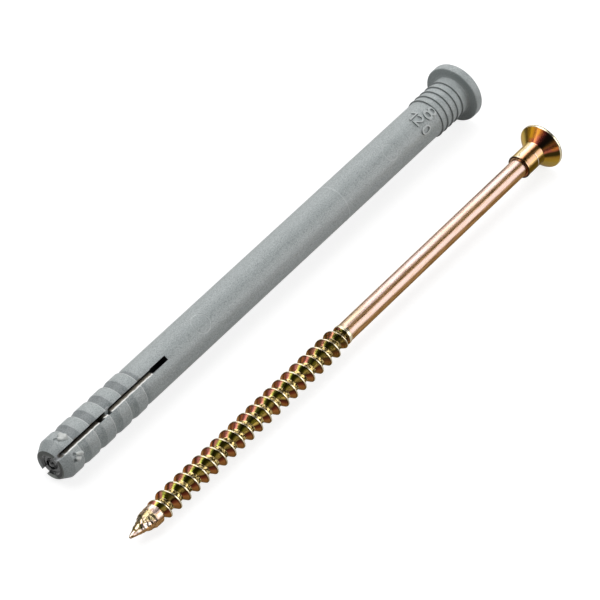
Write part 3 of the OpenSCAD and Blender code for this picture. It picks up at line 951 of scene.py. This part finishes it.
def yellow_zinc(tip, along):
    finish = Finish(bpy.data.materials.new("yellow_zinc"))
    place = finish.along_axis(tip, along, 0)
    x, y, z = finish.parts(place)
    radius = (x * x + y * y).root()
    turn = finish.add("ShaderNodeMath", {"operation": "ARCTAN2"}, {0: 0 - y, 1: 0 - x}) * (0.5 / pi) + 0.5
    normal = finish.add("ShaderNodeNewGeometry", {}, {}, output=1)
    lean = finish.add("ShaderNodeVectorMath", {"operation": "DOT_PRODUCT"}, {0: normal, 1: along}, output=1)
    line = finish.noise(finish.scaled(place, (1.0, 1.0, 0.05)), 5.0, 3.0, 0.6)
    patch = finish.noise(finish.scaled(place, (1.0, 1.0, 0.3)), 0.45, 2.0, 0.5)
    blotch = finish.noise(place, 0.4, 1.0, 0.5)
    grit = finish.noise(place, 4.5, 3.0, 0.7)
    lumps = finish.noise(place, 2.2, 2.0, 0.6)
    drift = finish.noise(finish.scaled(place, (0.0, 0.0, 1.0)), 0.35, 1.0, 0.5) - 0.5

    # where the stub, the thread's faces and the head lie
    stub = z.ramp(STUB_END + 0.4, STUB_END - 0.2)
    past_stub = z.ramp(STUB_END, STUB_END + 0.6)
    threaded = z.within(STUB_END - 0.05, STUB_END + 0.15, THREAD_END + 0.2, THREAD_END + 0.5)
    rising = (z - STUB_END) * ((CREST_R - THREAD_LIP_R) / THREAD_RISE) + THREAD_LIP_R
    fading = (THREAD_END - z) * ((CREST_R - SHANK_R) / THREAD_FADE) + SHANK_R
    crest = threaded * (radius - rising.least(fading).least(CREST_R)).ramp(-0.012, -0.003)
    flank = threaded * lean.ramp(-0.35, -0.55)
    pitted = threaded * (1 - lean.ramp(-0.3, -0.5)) * (1 - crest)
    headed = z.ramp(NECK_FROM - 0.28, NECK_FROM - 0.08)
    cone = z.ramp(CONE_FROM - 0.08, CONE_FROM + 0.12)
    rim = z.ramp(RIM_FROM - 0.15, RIM_FROM - 0.05)

    # the flanks' film colours and painted reflections drift from turn to turn, with painted shade toward the
    # crest and the run-out
    film = finish.bands(THREAD_FILM_AND_REFLECTIONS, turn + drift * 0.22 + (patch - 0.5) * 0.04 + z.ramp(30, 22) * 0.02)
    film = finish.blend(z.ramp(48, 55) * grit.ramp(0.60, 0.45) * 0.85, film, FADE_SHADE)
    film = finish.blend(radius.ramp(CREST_R - 0.2, CREST_R - 0.1) * 0.6, film, FLANK_SHADE)

    # the drawn shank: pink gold with streaks, with painted dimming where the highlight falls and a painted
    # dark reflection stripe
    gold = finish.blend(patch.ramp(0.35, 0.68), *DRAWN_GOLDS)
    gold = finish.blend(patch.ramp(0.42, 0.30) * 0.5, gold, DULL_GOLD)
    gold = finish.blend(turn.within(0.575, 0.605, 0.65, 0.69) * past_stub, gold, DIMMED_HIGHLIGHT_GOLD)
    stripe = turn.within(0.535, 0.555, 0.59, 0.605) * past_stub
    gold = finish.blend(stripe, gold, REFLECTION_STRIPE_GOLD)
    streaked = (1 - line.ramp(0.36, 0.50)) * (0.4 + stripe * 0.4 + stub * 0.35)
    gold = finish.blend(streaked, gold, STREAK_BROWN)

    # the pinched stub: blotched, with dark veins, and painted shade on one side of the point and in a line
    # down its middle
    gold = finish.blend(stub * blotch.ramp(0.52, 0.62) * 0.7, gold, STUB_OLIVE)
    gold = finish.blend(stub * blotch.ramp(0.47, 0.40) * 0.7, gold, STUB_PALE)
    vein = stub * (blotch - 0.5).size().ramp(0.03, 0.012) * z.ramp(5.8, 5.0)
    gold = finish.blend(vein, gold, VEIN_BROWN)
    pinched = z.ramp(5.0, 4.0) * (turn.ramp(0.475, 0.445) + turn.within(0.535, 0.55, 0.56, 0.575))
    gold = finish.blend(pinched * 0.65, gold, POINT_SHADE_OLIVE)
    # painted shade, browner, on the far side of the shank and stub
    shade = finish.blend(line.ramp(0.36, 0.60), *SHADE_BROWNS)
    gold = finish.blend(turn.within(0.665, 0.70, 0.90, 0.98), gold, shade)

    # film colours and painted reflections in bands round the neck and the head's cone, rosy near the neck
    # and amber further out
    around = turn + (patch - 0.5) * 0.03
    blaze = finish.bands(CONE_FILM_AND_REFLECTIONS, around)
    amber = turn.within(0.47, 0.49, 0.52, 0.54) + turn.within(0.645, 0.655, 0.685, 0.695)
    blaze = finish.blend(amber * z.ramp(121.2, 121.7), blaze, finish.scaled(blaze, AMBER_SHIFT))
    rosy = turn.within(0.39, 0.41, 0.46, 0.49) * z.ramp(121.05, 120.75)
    blaze = finish.blend(rosy, blaze, finish.scaled(blaze, ROSE_SHIFT))
    gold = finish.blend(headed, gold, finish.bands(NECK_FILM_AND_REFLECTIONS, around))
    gold = finish.blend(cone, gold, blaze)
    # a painted highlight on the head's rim, painted shade at its brink
    gold = finish.blend(rim, gold, RIM_HIGHLIGHT_GOLD)
    brink = z.ramp(NAIL_LEN - 0.26, NAIL_LEN - 0.2) * radius.ramp(HEAD_R - 0.34, HEAD_R - 0.24)
    gold = finish.blend(brink, gold, RIM_SHADE)
    # a painted highlight by the neck's groove
    grooved = z.within(GROOVE_TO - 0.06, GROOVE_TO - 0.02, GROOVE_TO + 0.08, GROOVE_TO + 0.14)
    gold = finish.blend(grooved * turn.ramp(0.58, 0.60) * 0.6, gold, GROOVE_HIGHLIGHT)
    # painted shade on the neck lip's face
    lip_face = z.within(NECK_FROM - 0.08, NECK_FROM - 0.03, NECK_FROM + 0.06, NECK_FROM + 0.12)
    foot = finish.blend(turn.ramp(0.62, 0.68), *FOOT_SHADE_BROWNS)
    foot = finish.blend(radius.ramp(2.04, 2.16), foot, FOOT_SHADE)
    gold = finish.blend(lip_face * lean.ramp(-0.4, -0.7), gold, foot)

    # the thread's granular root, with painted glints and painted shade in random specks, its flanks and a
    # painted highlight on its crest
    root = finish.blend(lumps.ramp(0.44, 0.56), *ROOT_GLINTS_AND_SHADE)
    root = finish.blend(z.ramp(53, 57) * 0.5, root, ROOT_SHADE)
    root = finish.blend(lean.ramp(0.2, 0.5) * 0.7, root, BACK_SHADE)
    tone = finish.blend(pitted, gold, root)
    tone = finish.blend(flank, tone, film)
    tone = finish.blend(crest, tone, CREST_HIGHLIGHT_GOLD)

    height = line * (1 - threaded) * 0.5 + grit * (0.12 + pitted * 0.9)
    bump = finish.add("ShaderNodeBump", {}, {"Strength": 0.3, "Distance": 0.00006, "Height": height})
    rough = 0.27 - headed * 0.07 - flank * 0.05 + pitted * 0.06 + (line - 0.5) * 0.1
    sockets = {"Base Color": tone, "Metallic": 1.0, "Roughness": rough, "Normal": bump}
    shader = finish.add("ShaderNodeBsdfPrincipled", {}, {**sockets, "Specular Tint": EDGE_TINT})
    finish.surface(shader)
    return finish.owner


def pale_floor():
    """A pale floor that the camera sees as white, mirrors as pale, with the object's shadow on it."""
    finish = Finish(bpy.data.materials.new("pale_floor"))
    ray = finish.add("ShaderNodeLightPath").socket.node
    kinds = ("Is Camera Ray", "Is Glossy Ray", "Is Transmission Ray")
    camera, glossy, through = [Wire(finish, ray.outputs[kind]) for kind in kinds]
    matt = finish.add("ShaderNodeBsdfDiffuse", {}, {"Color": (0.33, 0.33, 0.33, 1)})
    glow = finish.add("ShaderNodeEmission", {}, {"Strength": camera * 0.8 + (glossy + through) * 0.3})
    finish.surface(finish.add("ShaderNodeAddShader", {}, {0: matt, 1: glow}))
    return finish.owner


def paint(piece, material):
    piece.data.materials.clear()
    piece.data.materials.append(material)


def panel(name, azimuth, elevation, size, radiance):
    """A soft panel lamp a metre away that faces the object."""
    turn, rise = radians(azimuth), radians(elevation)
    place = Vector((cos(turn) * cos(rise), sin(turn) * cos(rise), sin(rise)))
    start_clean()
    facing = (-place).to_track_quat("-Z", "Y").to_euler()
    bpy.ops.object.light_add(type="AREA", location=place, rotation=facing)
    lamp = bpy.context.object
    lamp.name = name
    lamp.data.shape = "RECTANGLE"
    lamp.data.size, lamp.data.size_y = size
    lamp.data.energy = radiance * pi * size[0] * size[1]


bore = mounts["nail_bore"]
sleeve_along = Vector(bore["axis"]).normalized()
collar_at = (Vector(mounts["collar_seat"]["pos_m"]) - Vector(bore["pos_m"])).dot(sleeve_along)
sleeve_tip = Vector(bore["pos_m"]) + sleeve_along * (collar_at - PLUG_LEN * MM)
recess = mounts["drive_recess"]
nail_along = Vector(recess["axis"]).normalized()
nail_tip = Vector(recess["pos_m"]) - nail_along * NAIL_LEN * MM

sleeve = make_sleeve()
marks = [size_mark(*mark, sleeve) for mark in SIZE_MARKS]
nail = make_head()
fit(nail, make_thread(), "UNION")
fit(nail, make_point(), "UNION")
nail.name = "nail"

nylon = grey_nylon(sleeve_tip, sleeve_along)
zinc = yellow_zinc(nail_tip, nail_along)
for piece in [sleeve] + marks:
    lay_down(piece, sleeve_tip, sleeve_along, 180 + SLOT_TURN)
    smooth(piece, 35)
    paint(piece, nylon)
    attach(piece, "root")
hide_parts("sleeve")
lay_down(nail, nail_tip, nail_along)
smooth(nail, 35)
paint(nail, zinc)
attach(nail, "root")
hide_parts("nail_screw")

# The picture's viewing angle and lens, for a square frame
AZIMUTH = radians(53.14)
ELEVATION = radians(43.81)
DISTANCE = 0.6
TARGET = Vector((2.64, 2.90, 0)) * MM
LENS = 197.4
look = Vector((sin(AZIMUTH) * cos(ELEVATION), cos(AZIMUTH) * cos(ELEVATION), -sin(ELEVATION)))
facing = look.to_track_quat("-Z", "Y").to_euler()
start_clean()
bpy.ops.object.camera_add(location=TARGET - look * DISTANCE, rotation=facing)
camera = bpy.context.object
camera.data.lens = LENS
camera.data.sensor_width = 36
camera.data.clip_start = 0.01
bpy.context.scene.camera = camera
bpy.context.scene.view_settings.view_transform = "Standard"

start_clean()
bpy.ops.mesh.primitive_plane_add(size=6)
floor = settle("floor")
paint(floor, pale_floor())

world = bpy.data.worlds.new("studio")
bpy.context.scene.world = world
air = Finish(world)
air.add("ShaderNodeOutputWorld", {}, {"Surface": air.add("ShaderNodeBackground", {}, {"Strength": 0.05})})

# Soft panel lamps: name, azimuth and elevation in degrees, size in metres, radiance
for lamp in (
    ("back_panel", 38, 38, (0.95, 0.5), 1.9),
    ("top_panel", 105, 66, (1.0, 0.9), 2.7),
    ("right_panel", 309, 18, (0.7, 0.75), 2.1),
    ("side_panel", 278, 34, (0.8, 0.6), 1.5),
    ("low_panel", 56, 6, (0.8, 0.4), 1.35),
    ("left_panel", 118, 20, (0.6, 0.5), 0.58),
    ("front_panel", 220, 16, (0.4, 0.3), 0.3),
    ("fill_panel", 150, 39, (0.3, 0.3), 1.4),
    ("high_panel", 358, 57, (0.6, 0.4), 0.32),
):
    panel(*lamp)
